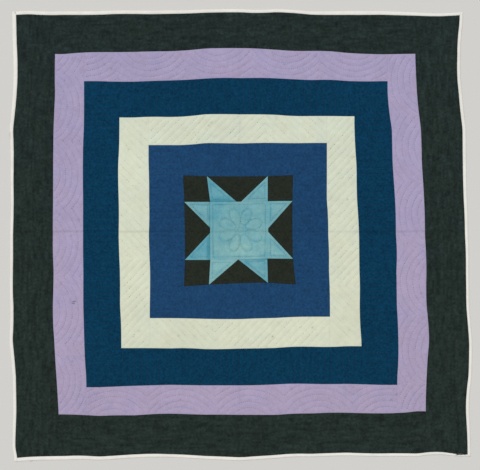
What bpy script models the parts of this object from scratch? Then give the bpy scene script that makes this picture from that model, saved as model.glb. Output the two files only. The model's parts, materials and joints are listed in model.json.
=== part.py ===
"""A patchwork bed quilt with one eight-pointed star, lying flat and face up.

Lengths are millimetres until a mesh is made. X runs to the right across the face, Y up the
face and Z out of it. The back lies on z = 0. Each patch, strip and length of binding is one
closed solid of the quilt's whole thickness, drawn down along its seams and stitched lines.
"""

import math

import bpy
from mathutils import Vector
from mathutils.geometry import delaunay_2d_cdt

MM = 0.001

# Thickness: padding stands up between the lines that are sewn through it
SEAM_HEIGHT = 3.0
STITCH_HEIGHT = 2.8
CREST_HEIGHT = 4.6
BINDING_EDGE_HEIGHT = 2.6
BINDING_CREST_HEIGHT = 4.4
PIECE_GAP = 0.3

# Outline
OUTLINE_STEP = 50.0
OUTLINE_REACH = 1020.0
SHORTEST_EDGE = 1.5

# Quilting: lines one inch apart, and none that runs into a seam
LINE_SPACING = 26.0
DIAGONAL_SPACING = 25.0
SEAM_MARGIN = 6.0
LONG_LINE_STEP = 110.0

# Nested arcs on both sides of the seam between the charcoal and lilac frames
ARC_CENTRE_SETBACK = 80.0
FIRST_ARC_RADIUS = 110.0
LAST_LILAC_ARC_RADIUS = 240.0
LAST_CHARCOAL_ARC_RADIUS = 188.0
CHARCOAL_ARC_REACH = 95.0
CHARCOAL_STRAIGHT_LINES = (108.0, 134.0)
VALLEY_PADDING = 86.0
ARC_STEP = 42.0

# The star's own quilting
ECHO_INSET = 11.0
ROSETTE_CENTRE = (0.0, 21.0)
PETAL_COUNT = 8
PETAL_CENTRE_RADIUS = 59.0
PETAL_LENGTH = 74.0
PETAL_WIDTH = 42.0
PETAL_SWELL = 0.22
PETAL_POINTS = 12
ROSETTE_EYE_RADIUS = 12.0

SIDES = ("top", "right", "bottom", "left")
SIGN = {"top": 1.0, "right": 1.0, "bottom": -1.0, "left": -1.0}
LEVEL_SIDES = ("top", "bottom")

# Each table holds one seam's distance out from the quilt's middle on its four sides.
# A station is measured along the side from its middle, rightwards or upwards.
# station, top, right, bottom, left
EDGE = (
    (-960, 948, 976, 963, 959),
    (-900, 951, 976, 958, 968),
    (-825, 948, 974, 956, 967),
    (-750, 949, 970, 955, 965),
    (-675, 949, 972, 953, 966),
    (-600, 950, 980, 956, 968),
    (-525, 953, 982, 951, 974),
    (-450, 953, 982, 946, 981),
    (-375, 952, 976, 943, 978),
    (-300, 953, 970, 944, 978),
    (-225, 954, 969, 947, 980),
    (-150, 957, 968, 952, 979),
    (-75, 958, 968, 955, 978),
    (0, 958, 965, 958, 978),
    (75, 955, 964, 953, 976),
    (150, 958, 961, 948, 975),
    (225, 955, 959, 942, 976),
    (300, 949, 958, 942, 976),
    (375, 949, 957, 939, 977),
    (450, 950, 956, 937, 980),
    (525, 950, 947, 939, 973),
    (600, 950, 940, 940, 967),
    (675, 947, 933, 939, 964),
    (750, 944, 933, 940, 965),
    (825, 940, 935, 932, 968),
    (900, 943, 942, 937, 969),
    (960, 947, 944, 940, 970),
)

# station, top, right, bottom, left
BINDING_WIDTH = (
    (-960, 15, 13, 16, 13),
    (-720, 16, 14, 17, 14),
    (-480, 16, 13, 15, 15),
    (-240, 15, 12, 14, 14),
    (0, 14, 13, 15, 13),
    (240, 14, 15, 14, 13),
    (480, 17, 15, 13, 16),
    (720, 15, 14, 13, 18),
    (840, 13, 14, 12, 18),
    (960, 14, 14, 8, 17),
)

# station, top, right, bottom, left
LILAC_SEAM = (
    (-750, 767, 785, 761, 772),
    (-675, 773, 786, 763, 776),
    (-600, 775, 789, 767, 781),
    (-525, 775, 793, 765, 786),
    (-450, 776, 799, 765, 790),
    (-375, 778, 796, 760, 795),
    (-300, 779, 789, 758, 796),
    (-225, 783, 787, 760, 794),
    (-150, 790, 788, 762, 793),
    (-75, 792, 786, 762, 796),
    (0, 792, 782, 763, 796),
    (75, 790, 781, 763, 796),
    (150, 785, 778, 763, 795),
    (225, 780, 774, 758, 795),
    (300, 780, 769, 757, 795),
    (375, 779, 767, 754, 794),
    (450, 772, 764, 754, 793),
    (525, 768, 755, 756, 790),
    (600, 766, 748, 756, 787),
    (675, 767, 744, 755, 788),
    (750, 768, 741, 748, 787),
)

# station, top, right, bottom, left
NAVY_SEAM = (
    (-600, 652, 665, 646, 655),
    (-525, 650, 669, 643, 660),
    (-450, 650, 669, 640, 663),
    (-375, 653, 667, 638, 665),
    (-300, 655, 663, 636, 667),
    (-225, 658, 662, 637, 667),
    (-150, 663, 661, 638, 667),
    (-75, 666, 663, 638, 668),
    (0, 665, 659, 638, 668),
    (75, 666, 658, 637, 668),
    (150, 664, 655, 634, 668),
    (225, 660, 650, 631, 669),
    (300, 657, 645, 632, 669),
    (375, 658, 643, 633, 668),
    (450, 653, 641, 632, 665),
    (525, 651, 630, 634, 664),
    (600, 652, 624, 636, 664),
)

# station, top, right, bottom, left
CREAM_SEAM = (
    (-450, 498, 512, 480, 506),
    (-375, 501, 507, 480, 507),
    (-300, 500, 505, 481, 511),
    (-225, 503, 506, 480, 511),
    (-150, 511, 504, 484, 512),
    (-75, 512, 503, 484, 515),
    (0, 511, 502, 482, 517),
    (75, 511, 499, 481, 516),
    (150, 509, 494, 479, 517),
    (225, 504, 492, 474, 519),
    (300, 504, 491, 474, 519),
    (375, 504, 486, 475, 515),
    (450, 503, 483, 472, 514),
)

# station, top, right, bottom, left
BLUE_SEAM = (
    (-300, 381, 379, 353, 385),
    (-225, 382, 378, 354, 384),
    (-150, 389, 375, 356, 384),
    (-75, 389, 375, 357, 387),
    (0, 388, 372, 357, 389),
    (75, 390, 371, 354, 387),
    (150, 390, 366, 352, 388),
    (225, 389, 366, 348, 388),
    (300, 390, 366, 347, 390),
)

# The star block's corners, in rows A to D from the top and columns 1 to 4 from the left.
# T, R, U and L mark where the dark triangles' tips meet the centre square, on its top, right,
# under and left sides. The seam cuts three of the tips off blunt.
BLOCK_CORNERS = {
    "A1": (-244, 253), "A2": (-143, 249), "A3": (115, 249), "A4": (223, 254),
    "B1": (-239, 140), "B2": (-129, 140), "T1": (-17, 140.5), "T2": (2, 141), "B3": (115, 143), "B4": (220, 144),
    "L1": (-129, 30), "L2": (-129, 9), "R1": (117, 28), "R2": (117, 13),
    "C1": (-236, -106), "C2": (-128, -106), "U": (-10, -104), "C3": (113, -100), "C4": (222, -101),
    "D1": (-240, -218), "D2": (-134, -211), "D3": (116, -203), "D4": (234, -211),
}

# patch, cloth, corners in counter-clockwise order
PATCHES = (
    ("star_centre", "star_cloth", "C2 U C3 R2 R1 B3 T2 T1 B2 L1 L2"),
    ("star_point_top_left", "star_cloth", "B2 T1 A2"),
    ("star_point_top_right", "star_cloth", "T2 B3 A3"),
    ("star_point_right_upper", "star_cloth", "B3 R1 B4"),
    ("star_point_right_lower", "star_cloth", "R2 C3 C4"),
    ("star_point_bottom_right", "star_cloth", "C3 U D3"),
    ("star_point_bottom_left", "star_cloth", "U C2 D2"),
    ("star_point_left_lower", "star_cloth", "C2 L2 C1"),
    ("star_point_left_upper", "star_cloth", "L1 B2 B1"),
    ("block_side_top", "black_cloth", "T1 T2 A3 A2"),
    ("block_side_right", "black_cloth", "R2 C4 B4 R1"),
    ("block_side_bottom", "black_cloth", "U D2 D3"),
    ("block_side_left", "black_cloth", "L1 B1 C1 L2"),
    ("block_corner_top_left", "black_cloth", "B1 B2 A2 A1"),
    ("block_corner_top_right", "black_cloth", "B3 B4 A4 A3"),
    ("block_corner_bottom_right", "black_cloth", "D3 D4 C4 C3"),
    ("block_corner_bottom_left", "black_cloth", "D1 D2 C2 C1"),
)

# The block's corners along each of its sides, in the direction in which stations grow
BLOCK_SIDES = {"top": "A1 A2 A3 A4", "right": "D4 C4 B4 A4", "bottom": "D1 D2 D3 D4", "left": "D1 C1 B1 A1"}

# side, middle of one swag, length of a swag
SWAGS = {
    "top": (-94.0, 287.0),
    "right": (84.0, 285.0),
    "bottom": (38.0, 291.0),
    "left": (-34.0, 288.0),
}

# side, station where the cream frame's slanting lines turn, and 1 where they point outwards
CHEVRONS = {
    "top": (105.0, 1.0),
    "right": (-215.0, -1.0),
    "bottom": (-110.0, 1.0),
    "left": (-105.0, -1.0),
}

# cloth: red, green and blue from 0 to 255, roughness
CLOTHS = {
    "binding_cloth": ((228, 226, 218), 0.85),
    "charcoal_cloth": ((36, 46, 43), 0.9),
    "lilac_cloth": ((165, 154, 184), 0.85),
    "navy_cloth": ((15, 54, 81), 0.85),
    "cream_cloth": ((209, 214, 193), 0.85),
    "blue_cloth": ((28, 65, 102), 0.85),
    "black_cloth": ((35, 40, 33), 0.9),
    "star_cloth": ((108, 164, 174), 0.8),
}


def clear_scene():
    for old in list(bpy.data.objects):
        bpy.data.objects.remove(old, do_unlink=True)


def linear_colour(colour):
    channels = []
    for value in colour:
        share = value / 255
        channels.append(share / 12.92 if share <= 0.04045 else ((share + 0.055) / 1.055) ** 2.4)
    return (*channels, 1.0)


def cloth_material(cloth):
    colour, roughness = CLOTHS[cloth]
    material = bpy.data.materials.new(cloth)
    material.use_nodes = True
    shader = material.node_tree.nodes["Principled BSDF"]
    shader.inputs["Base Color"].default_value = linear_colour(colour)
    shader.inputs["Roughness"].default_value = roughness
    shader.inputs["Metallic"].default_value = 0.0
    material.diffuse_color = linear_colour(colour)
    return material


def table_value(rows, column, station):
    """Reads a table between its rows along a smooth curve, and past its ends as its last value."""
    last = len(rows) - 1
    station = min(max(station, rows[0][0]), rows[last][0])
    low = max(k for k in range(last) if rows[k][0] <= station)
    span = rows[low + 1][0] - rows[low][0]
    slopes = []
    for k in (low, low + 1):
        before = max(k - 1, 0)
        after = min(k + 1, last)
        slopes.append((rows[after][column] - rows[before][column]) / (rows[after][0] - rows[before][0]))
    u = (station - rows[low][0]) / span
    start_share = (1 + 2 * u) * (1 - u) ** 2
    ends = start_share * rows[low][column] + (1 - start_share) * rows[low + 1][column]
    return ends + span * (u * (1 - u) ** 2 * slopes[0] - u * u * (1 - u) * slopes[1])


def seam_from_table(rows):
    """Each side of a seam as (station, distance) points with straight runs between them."""
    count = round(OUTLINE_REACH / OUTLINE_STEP)
    stations = [OUTLINE_STEP * k for k in range(-count, count + 1)]
    return {side: [(s, table_value(rows, 1 + k, s)) for s in stations] for k, side in enumerate(SIDES)}


def binding_seam(edge):
    seam = {}
    for k, side in enumerate(SIDES):
        seam[side] = [(s, d - table_value(BINDING_WIDTH, 1 + k, s)) for s, d in edge[side]]
    return seam


def block_seam():
    seam = {}
    for side, names in BLOCK_SIDES.items():
        corners = [BLOCK_CORNERS[name] for name in names.split()]
        if side in LEVEL_SIDES:
            seam[side] = [(x, SIGN[side] * y) for x, y in corners]
        else:
            seam[side] = [(y, SIGN[side] * x) for x, y in corners]
    return seam


def distance(seam, side, station):
    points = seam[side]
    if station <= points[0][0]:
        return points[0][1]
    for (s0, d0), (s1, d1) in zip(points, points[1:]):
        if station <= s1:
            return d0 + (d1 - d0) * (station - s0) / (s1 - s0)
    return points[-1][1]


def coordinate(line, station):
    """A line is (seam, side, shift): its x or y at a station, moved by the shift."""
    seam, side, shift = line
    return SIGN[side] * distance(seam, side, station) + shift


def corner(level, upright):
    x = 0.0
    for _ in range(20):
        y = coordinate(level, x)
        x = coordinate(upright, y)
    return x, y


def points_between(line, start, stop):
    seam, side, _ = line
    inside = [s for s, _ in seam[side] if start + SHORTEST_EDGE < s < stop - SHORTEST_EDGE]
    if side in LEVEL_SIDES:
        return [(s, coordinate(line, s)) for s in inside]
    return [(coordinate(line, s), s) for s in inside]


def four_sided_outline(lower, right, upper, left):
    """Counter-clockwise outline between two level and two upright lines."""
    half = PIECE_GAP / 2
    lower = (*lower, half)
    left = (*left, half)
    upper = (*upper, -half)
    right = (*right, -half)
    lower_left = corner(lower, left)
    lower_right = corner(lower, right)
    upper_right = corner(upper, right)
    upper_left = corner(upper, left)
    outline = [lower_left, *points_between(lower, lower_left[0], lower_right[0])]
    outline += [lower_right, *points_between(right, lower_right[1], upper_right[1])]
    outline += [upper_right, *reversed(points_between(upper, upper_left[0], upper_right[0]))]
    outline += [upper_left, *reversed(points_between(left, lower_left[1], upper_left[1]))]
    return outline


def strip_outline(outer, inner, side):
    """A frame's strip: the side strips run the full height, the others are butted between them."""
    if side == "left":
        return four_sided_outline((outer, "bottom"), (inner, "left"), (outer, "top"), (outer, "left"))
    if side == "right":
        return four_sided_outline((outer, "bottom"), (outer, "right"), (outer, "top"), (inner, "right"))
    if side == "top":
        return four_sided_outline((inner, "top"), (inner, "right"), (outer, "top"), (inner, "left"))
    return four_sided_outline((outer, "bottom"), (inner, "right"), (inner, "bottom"), (inner, "left"))


def inset_polygon(points, inset):
    """Moves each edge of a convex, counter-clockwise polygon inwards."""
    count = len(points)
    moved = []
    for k in range(count):
        before = Vector(points[k - 1])
        here = Vector(points[k])
        after = Vector(points[(k + 1) % count])
        first = (here - before).normalized()
        second = (after - here).normalized()
        inward = Vector((-first.y - second.y, first.x + second.x))
        inward.normalize()
        depth = inset / inward.dot(Vector((-first.y, first.x)))
        moved.append(tuple(here + inward * depth))
    return moved


class Strip:
    """One strip of a frame, with its own coordinates.

    s runs along the strip and t across it, from its outer seam to its inner one.
    """

    def __init__(self, outer, inner, side):
        self.outer = outer
        self.inner = inner
        self.side = side
        self.outline = strip_outline(outer, inner, side)
        self.width = distance(outer, side, 0.0) - distance(inner, side, 0.0)
        ends = self.inner if side in LEVEL_SIDES else self.outer
        low_side, high_side = ("left", "right") if side in LEVEL_SIDES else ("bottom", "top")
        middle = SIGN[side] * (distance(outer, side, 0.0) - self.width / 2)
        self.start = -distance(ends, low_side, middle) + SEAM_MARGIN
        self.stop = distance(ends, high_side, middle) - SEAM_MARGIN

    def place(self, s, t):
        outer = distance(self.outer, self.side, s)
        local_width = outer - distance(self.inner, self.side, s)
        across = SIGN[self.side] * (outer - t * local_width / self.width)
        return (s, across) if self.side in LEVEL_SIDES else (across, s)

    def line(self, points, height):
        """A quilting line inside the strip, cut short of its ends and seams."""
        low = SEAM_MARGIN - 0.001
        kept = [(s, t) for s, t in points if self.start <= s <= self.stop and low <= t <= self.width - low]
        return [self.place(s, t) for s, t in kept], height


def alternating(first, last, spacing):
    """Stitched lines with a crest line between each two, as (value, height)."""
    count = math.floor((last - first) / (spacing / 2))
    return [(first + k * spacing / 2, (STITCH_HEIGHT, CREST_HEIGHT)[k % 2]) for k in range(count + 1)]


def across_lines(strip):
    lines = []
    for s, height in alternating(strip.start, strip.stop, LINE_SPACING):
        lines.append(strip.line([(s, SEAM_MARGIN), (s, strip.width - SEAM_MARGIN)], height))
    return lines


def chevron_lines(strip):
    """Lines at 45 degrees that turn once, at the station that the table gives."""
    turn, outwards = CHEVRONS[strip.side]
    inner_t = strip.width - SEAM_MARGIN
    reach = 2 * OUTLINE_REACH
    along = DIAGONAL_SPACING * math.sqrt(2)
    first = -along * round(reach / along)
    lines = []
    for offset, height in alternating(first, inner_t, along):
        for hand in (-1.0, 1.0):
            top_t = max(SEAM_MARGIN, offset)
            points = []
            for t in (top_t, inner_t):
                depth = t if outwards > 0 else strip.width - t
                points.append((turn + hand * (t - offset), depth))
            lines.append(clipped_slant(strip, points, height))
    return lines


def clipped_slant(strip, points, height):
    """A straight slanting line, cut where it passes the strip's ends."""
    (s0, t0), (s1, t1) = points
    shares = [0.0, 1.0]
    if s0 != s1:
        cuts = sorted(((strip.start - s0) / (s1 - s0), (strip.stop - s0) / (s1 - s0)))
        shares = [max(0.0, cuts[0]), min(1.0, cuts[1])]
    if shares[1] - shares[0] < 0.05:
        return [], height
    kept = [(s0 + (s1 - s0) * u, t0 + (t1 - t0) * u) for u in shares]
    return [strip.place(s, t) for s, t in kept], height


def arc_pieces(radius, half_swag, nearest, farthest):
    """Runs of (along, out) on a circle whose centre is set back from the seam.

    out is the distance from the seam; each run stays between nearest and farthest, and
    within half a swag of the crest.
    """
    widest = math.acos(min(1.0, (ARC_CENTRE_SETBACK + nearest) / radius))
    widest = min(widest, math.asin(min(1.0, half_swag / radius)))
    narrowest = math.acos(min(1.0, (ARC_CENTRE_SETBACK + farthest) / radius))
    if widest - narrowest < 0.02:
        return []
    ranges = [(-widest, widest)] if narrowest == 0.0 else [(-widest, -narrowest), (narrowest, widest)]
    runs = []
    for low, high in ranges:
        steps = max(1, round(radius * (high - low) / ARC_STEP))
        angles = [low + (high - low) * k / steps for k in range(steps + 1)]
        runs.append([(radius * math.sin(a), radius * math.cos(a) - ARC_CENTRE_SETBACK) for a in angles])
    return runs


def swag_crests(strip):
    """Half a swag's length, and the stations of the crests that reach into the strip."""
    crest, swag = SWAGS[strip.side]
    first = math.floor((strip.start - crest) / swag)
    last = math.ceil((strip.stop - crest) / swag)
    return swag / 2, [crest + number * swag for number in range(first, last + 1)]


def swag_lines(strip, last_radius, farthest, out_to_t):
    half_swag, crests = swag_crests(strip)
    radii = [(FIRST_ARC_RADIUS - LINE_SPACING / 2, CREST_HEIGHT)]
    radii += alternating(FIRST_ARC_RADIUS, last_radius, LINE_SPACING)
    lines = []
    for crest in crests:
        for radius, height in radii:
            for run in arc_pieces(radius, half_swag, SEAM_MARGIN, farthest):
                lines.append(strip.line([(crest + along, out_to_t(out)) for along, out in run], height))
    return lines


def lilac_lines(strip):
    """Nested arcs that swell towards the middle of the quilt."""
    return swag_lines(strip, LAST_LILAC_ARC_RADIUS, strip.width - SEAM_MARGIN, lambda out: out)


def charcoal_lines(strip):
    """The same arcs mirrored, swelling outwards, with straight lines beyond them."""
    lines = swag_lines(strip, LAST_CHARCOAL_ARC_RADIUS, CHARCOAL_ARC_REACH, lambda out: strip.width - out)
    first, second = CHARCOAL_STRAIGHT_LINES
    between = (first + second) / 2
    beyond = (second + strip.width) / 2
    heights = (
        (first, STITCH_HEIGHT),
        (between, CREST_HEIGHT),
        (second, STITCH_HEIGHT),
        (beyond, CREST_HEIGHT),
    )
    steps = round((strip.stop - strip.start) / LONG_LINE_STEP)
    stations = [strip.start + (strip.stop - strip.start) * k / steps for k in range(steps + 1)]
    for out, height in heights:
        lines.append(strip.line([(s, strip.width - out) for s in stations], height))
    half_swag, crests = swag_crests(strip)
    for crest in crests:
        lines.append(strip.line([(crest + half_swag, strip.width - VALLEY_PADDING)], CREST_HEIGHT))
    return lines


def closed_line(points, height):
    return [*points, points[0]], height


def echo_lines(outline):
    """A stitched line just inside a patch's seams, round a raised middle."""
    count = len(outline)
    middle = (sum(x for x, _ in outline) / count, sum(y for _, y in outline) / count)
    return [closed_line(inset_polygon(outline, ECHO_INSET), STITCH_HEIGHT), ([middle], CREST_HEIGHT)]


def ring_of_points(centre, radius_along, radius_across, heading, count, swell=0.0):
    """An oval, which is wider towards its heading where it swells."""
    points = []
    for k in range(count):
        angle = math.tau * k / count
        along = radius_along * math.cos(angle)
        across = radius_across * math.sin(angle) * (1 + swell * math.cos(angle))
        x = centre[0] + along * math.cos(heading) - across * math.sin(heading)
        y = centre[1] + along * math.sin(heading) + across * math.cos(heading)
        points.append((x, y))
    return points


def rosette_lines(outline):
    """Eight petals round a small eye, with padding standing up inside and outside them."""
    lines = [closed_line(inset_polygon(outline, ECHO_INSET), STITCH_HEIGHT)]
    eye = ring_of_points(ROSETTE_CENTRE, ROSETTE_EYE_RADIUS, ROSETTE_EYE_RADIUS, 0.0, PETAL_COUNT)
    lines.append(closed_line(eye, STITCH_HEIGHT))
    lines.append(([ROSETTE_CENTRE], CREST_HEIGHT))
    for k in range(PETAL_COUNT):
        heading = math.tau * (k + 0.5) / PETAL_COUNT
        middle = (
            ROSETTE_CENTRE[0] + PETAL_CENTRE_RADIUS * math.cos(heading),
            ROSETTE_CENTRE[1] + PETAL_CENTRE_RADIUS * math.sin(heading),
        )
        petal = ring_of_points(middle, PETAL_LENGTH / 2, PETAL_WIDTH / 2, heading, PETAL_POINTS, PETAL_SWELL)
        crest = ring_of_points(middle, PETAL_LENGTH / 4, 0.0, heading, 2)
        lines.append(closed_line(petal, STITCH_HEIGHT))
        lines.append((crest, CREST_HEIGHT))
    half_side = PETAL_CENTRE_RADIUS + PETAL_LENGTH / 2
    for x_sign in (-1, 1):
        for y_sign in (-1, 1):
            spot = (ROSETTE_CENTRE[0] + x_sign * half_side, ROSETTE_CENTRE[1] + y_sign * half_side)
            lines.append(([spot], CREST_HEIGHT))
    return lines


def binding_lines(strip):
    """One rounded crest along the middle of the binding."""
    half = strip.width / 2
    stations = [s for s, _ in strip.outer[strip.side] if strip.start <= s <= strip.stop]
    stations = [strip.start, *stations, strip.stop]
    points = [strip.place(s, half) for s in stations]
    return [(points, BINDING_CREST_HEIGHT)]


def flat_triangles(points, edges, outline_count):
    """Constrained triangles inside the outline, and which given points each corner stands for."""
    flat = [Vector(p) for p in points]
    face = list(range(outline_count))
    corners, _, triangles, given, _, _ = delaunay_2d_cdt(flat, edges, [face], 1, 0.001)
    return corners, triangles, given


def panel_mesh(name, outline, lines, edge_height, centre):
    """A closed solid with a flat back, walls along the outline and a quilted face."""
    points = list(outline)
    heights = [edge_height] * len(outline)
    edges = []
    for line, height in lines:
        first = len(points)
        points += line
        heights += [height] * len(line)
        edges += [(first + k, first + k + 1) for k in range(len(line) - 1)]
    corners, triangles, given = flat_triangles(points, edges, len(outline))
    vertices = []
    top_of = {}
    for index, place in enumerate(corners):
        origins = given[index]
        height = min([heights[k] for k in origins], default=STITCH_HEIGHT)
        rims = [k for k in origins if k < len(outline)]
        if rims:
            height = edge_height
            top_of[rims[0]] = index
        vertices.append(((place.x - centre[0]) * MM, (place.y - centre[1]) * MM, height * MM))
    faces = [list(triangle) for triangle in triangles]
    first_back = len(vertices)
    vertices += [((x - centre[0]) * MM, (y - centre[1]) * MM, 0.0) for x, y in outline]
    for k in range(len(outline)):
        after = (k + 1) % len(outline)
        faces.append([first_back + k, first_back + after, top_of[after], top_of[k]])
    _, back_triangles, back_given = flat_triangles(outline, [], len(outline))
    for triangle in back_triangles:
        faces.append([first_back + back_given[corner_index][0] for corner_index in reversed(triangle)])
    mesh = bpy.data.meshes.new(name)
    mesh.from_pydata(vertices, [], faces)
    mesh.validate()
    mesh.shade_smooth()
    mesh.set_sharp_from_angle(angle=math.radians(30))
    return mesh


def add_panel(name, outline, lines, edge_height, material, parent):
    centre = (sum(x for x, _ in outline) / len(outline), sum(y for _, y in outline) / len(outline))
    mesh = panel_mesh(name, outline, lines, edge_height, centre)
    mesh.materials.append(material)
    panel = bpy.data.objects.new(name, mesh)
    bpy.context.scene.collection.objects.link(panel)
    panel.parent = parent
    panel.location = (centre[0] * MM, centre[1] * MM, 0.0)
    return panel


def add_frame(name, outer, inner, line_maker, edge_height, material, parent):
    for side in SIDES:
        strip = Strip(outer, inner, side)
        add_panel(f"{name}_{side}", strip.outline, line_maker(strip), edge_height, material, parent)


def add_star_block(materials, parent):
    for name, cloth, names in PATCHES:
        seam_line = [BLOCK_CORNERS[key] for key in names.split()]
        outline = inset_polygon(seam_line, PIECE_GAP / 2)
        lines = rosette_lines(outline) if name == "star_centre" else echo_lines(outline)
        add_panel(name, outline, lines, SEAM_HEIGHT, materials[cloth], parent)


def box_middle(outlines):
    xs = [x for outline in outlines for x, _ in outline]
    ys = [y for outline in outlines for _, y in outline]
    return (min(xs) + max(xs)) / 2, (min(ys) + max(ys)) / 2


def build_quilt():
    clear_scene()
    quilt = bpy.data.objects.new("quilt", None)
    bpy.context.scene.collection.objects.link(quilt)
    materials = {cloth: cloth_material(cloth) for cloth in CLOTHS}
    edge = seam_from_table(EDGE)
    binding = binding_seam(edge)
    middle_x, middle_y = box_middle([strip_outline(edge, binding, side) for side in SIDES])
    quilt.location = (-middle_x * MM, -middle_y * MM, 0.0)
    lilac = seam_from_table(LILAC_SEAM)
    navy = seam_from_table(NAVY_SEAM)
    cream = seam_from_table(CREAM_SEAM)
    blue = seam_from_table(BLUE_SEAM)
    block = block_seam()
    frames = (
        ("binding", edge, binding, binding_lines, BINDING_EDGE_HEIGHT),
        ("charcoal", binding, lilac, charcoal_lines, SEAM_HEIGHT),
        ("lilac", lilac, navy, lilac_lines, SEAM_HEIGHT),
        ("navy", navy, cream, across_lines, SEAM_HEIGHT),
        ("cream", cream, blue, chevron_lines, SEAM_HEIGHT),
        ("blue", blue, block, across_lines, SEAM_HEIGHT),
    )
    for name, outer, inner, line_maker, edge_height in frames:
        add_frame(name, outer, inner, line_maker, edge_height, materials[f"{name}_cloth"], quilt)
    add_star_block(materials, quilt)


build_quilt()
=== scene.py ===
"""Dresses the flat star quilt: quilted cloth, rolled binding, sewn lines, wear and a plain stage.

Plans are drawn in millimetres on the quilt's own pattern, with X to the right and Y up the face,
and become metres when a mesh is made.
"""

import json
import math

import bpy
import numpy as np
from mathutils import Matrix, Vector
from mathutils.bvhtree import BVHTree
from mathutils.kdtree import KDTree

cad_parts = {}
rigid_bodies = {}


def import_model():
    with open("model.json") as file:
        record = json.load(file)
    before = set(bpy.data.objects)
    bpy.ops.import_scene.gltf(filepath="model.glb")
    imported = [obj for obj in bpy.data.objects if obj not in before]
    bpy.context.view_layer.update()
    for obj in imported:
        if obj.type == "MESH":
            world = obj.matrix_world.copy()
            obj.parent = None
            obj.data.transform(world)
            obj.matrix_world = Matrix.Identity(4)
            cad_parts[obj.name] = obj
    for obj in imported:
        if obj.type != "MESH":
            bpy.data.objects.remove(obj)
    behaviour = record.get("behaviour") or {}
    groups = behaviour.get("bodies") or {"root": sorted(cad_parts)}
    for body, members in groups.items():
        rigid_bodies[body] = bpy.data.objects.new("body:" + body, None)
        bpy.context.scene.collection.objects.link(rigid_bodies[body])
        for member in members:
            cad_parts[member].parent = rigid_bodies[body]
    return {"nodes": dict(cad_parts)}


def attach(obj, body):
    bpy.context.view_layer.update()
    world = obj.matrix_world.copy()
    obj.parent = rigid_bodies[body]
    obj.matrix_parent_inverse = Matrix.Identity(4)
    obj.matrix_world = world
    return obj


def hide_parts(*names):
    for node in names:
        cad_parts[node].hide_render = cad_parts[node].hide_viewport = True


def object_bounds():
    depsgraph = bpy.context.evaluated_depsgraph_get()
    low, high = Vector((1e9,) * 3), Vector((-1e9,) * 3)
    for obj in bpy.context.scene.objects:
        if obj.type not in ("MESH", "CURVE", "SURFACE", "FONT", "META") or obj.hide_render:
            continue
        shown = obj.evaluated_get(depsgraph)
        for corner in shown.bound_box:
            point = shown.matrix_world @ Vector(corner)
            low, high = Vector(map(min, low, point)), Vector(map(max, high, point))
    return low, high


bl_info = {
    "name": "Star quilt blanket",
    "version": (1, 0, 0),
    "blender": (4, 5, 0),
    "location": "View3D > Sidebar > Quilt",
    "description": "Quilted cloth, binding, sewn lines, wear and stage for a flat patchwork quilt",
    "category": "Object",
}

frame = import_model()
CAD_LOW, CAD_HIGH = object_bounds()

MM = 0.001

# The pattern's middle, measured from the solids' origin, in millimetres
PATTERN_MIDDLE = (-0.68, 2.06)

# Where the view's pixels lie on the pattern
MM_PER_PIXEL = 4.24
MIDDLE_PIXEL = (240.6, 234.9)
VIEW_PIXELS = (480, 470)

SIDES = ("top", "right", "bottom", "left")
SIGN = {"top": 1.0, "right": 1.0, "bottom": -1.0, "left": -1.0}
LEVEL_SIDES = ("top", "bottom")

# Which of an outline's four runs lies on a side
RUN_ON_SIDE = {"bottom": 0, "right": 1, "top": 2, "left": 3}

# Reading a solid's outline: top of its flat back, gap to its neighbours, least turn at a corner
BACK_LEVEL = 0.1
PIECE_GAP = 0.3
CORNER_TURN = math.radians(25)

# Fewest steps that a piece or an arc is divided into, and fewest points of a sewn line
FEWEST_STEPS = 4
FEWEST_POINTS = 4

# How far a piece reaches under its neighbours at its back and just under its face, so that no
# light comes through a seam, and how far that ledge lies below the face
SEAM_TURN = 1.2
SEAM_LEDGE = 1.1
SEAM_DIP = 0.25

# The backs lie a hair apart, so that no two of them share a plane where they lap
BACK_STEP = 0.015
BACK_LEVELS = 9
BACK_SHADE = 0.9

# Edges that turn more than this stay sharp
SHARP_TURN = math.radians(50)

# Sewn lines, in millimetres
LINE_SPACING = 26.0
DIAGONAL_SPACING = 25.0
SEAM_MARGIN = 6.0
ARC_CENTRE_SETBACK = 80.0
LILAC_RADII = (110.0, 136.0, 162.0, 188.0, 214.0, 240.0)
CHARCOAL_RADII = (110.0, 136.0, 162.0, 188.0)
CHARCOAL_ARC_REACH = 97.0
CHARCOAL_STRAIGHT_LINES = (108.0, 134.0)
ECHO_INSET = 11.0
ROSETTE_CENTRE = (0.0, 21.0)
PETAL_COUNT = 8
PETAL_CENTRE_RADIUS = 59.0
PETAL_LENGTH = 74.0
PETAL_WIDTH = 42.0
PETAL_SWELL = 0.22
PETAL_STEPS = 120
ROSETTE_EYE_RADIUS = 12.0
ROSETTE_EYE_STEPS = 48
LINE_STEP = 1.5
HAND_WANDER = 1.5

# side, middle of one swag, length of a swag
SWAGS = {
    "top": (-94.0, 287.0),
    "right": (84.0, 285.0),
    "bottom": (38.0, 291.0),
    "left": (-34.0, 288.0),
}

# side, station where the cream frame's slanting lines turn, and 1 where they point outwards
CHEVRONS = {
    "top": (105.0, 1.0),
    "right": (-215.0, -1.0),
    "bottom": (-110.0, 1.0),
    "left": (-105.0, -1.0),
}

# Fold creases: where each lies, its width, and how deep the upright one is against the level one
LEVEL_CREASE, LEVEL_CREASE_WIDTH = 14.0, 4.5
UPRIGHT_CREASE, UPRIGHT_CREASE_WIDTH = -5.0, 5.0
UPRIGHT_CREASE_SHARE = 0.45

# How far out the slow swells reach, and how far in from there they are at their full height
SWELL_REACH = (960.0, 940.0)
SWELL_FADE = 90.0

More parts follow.
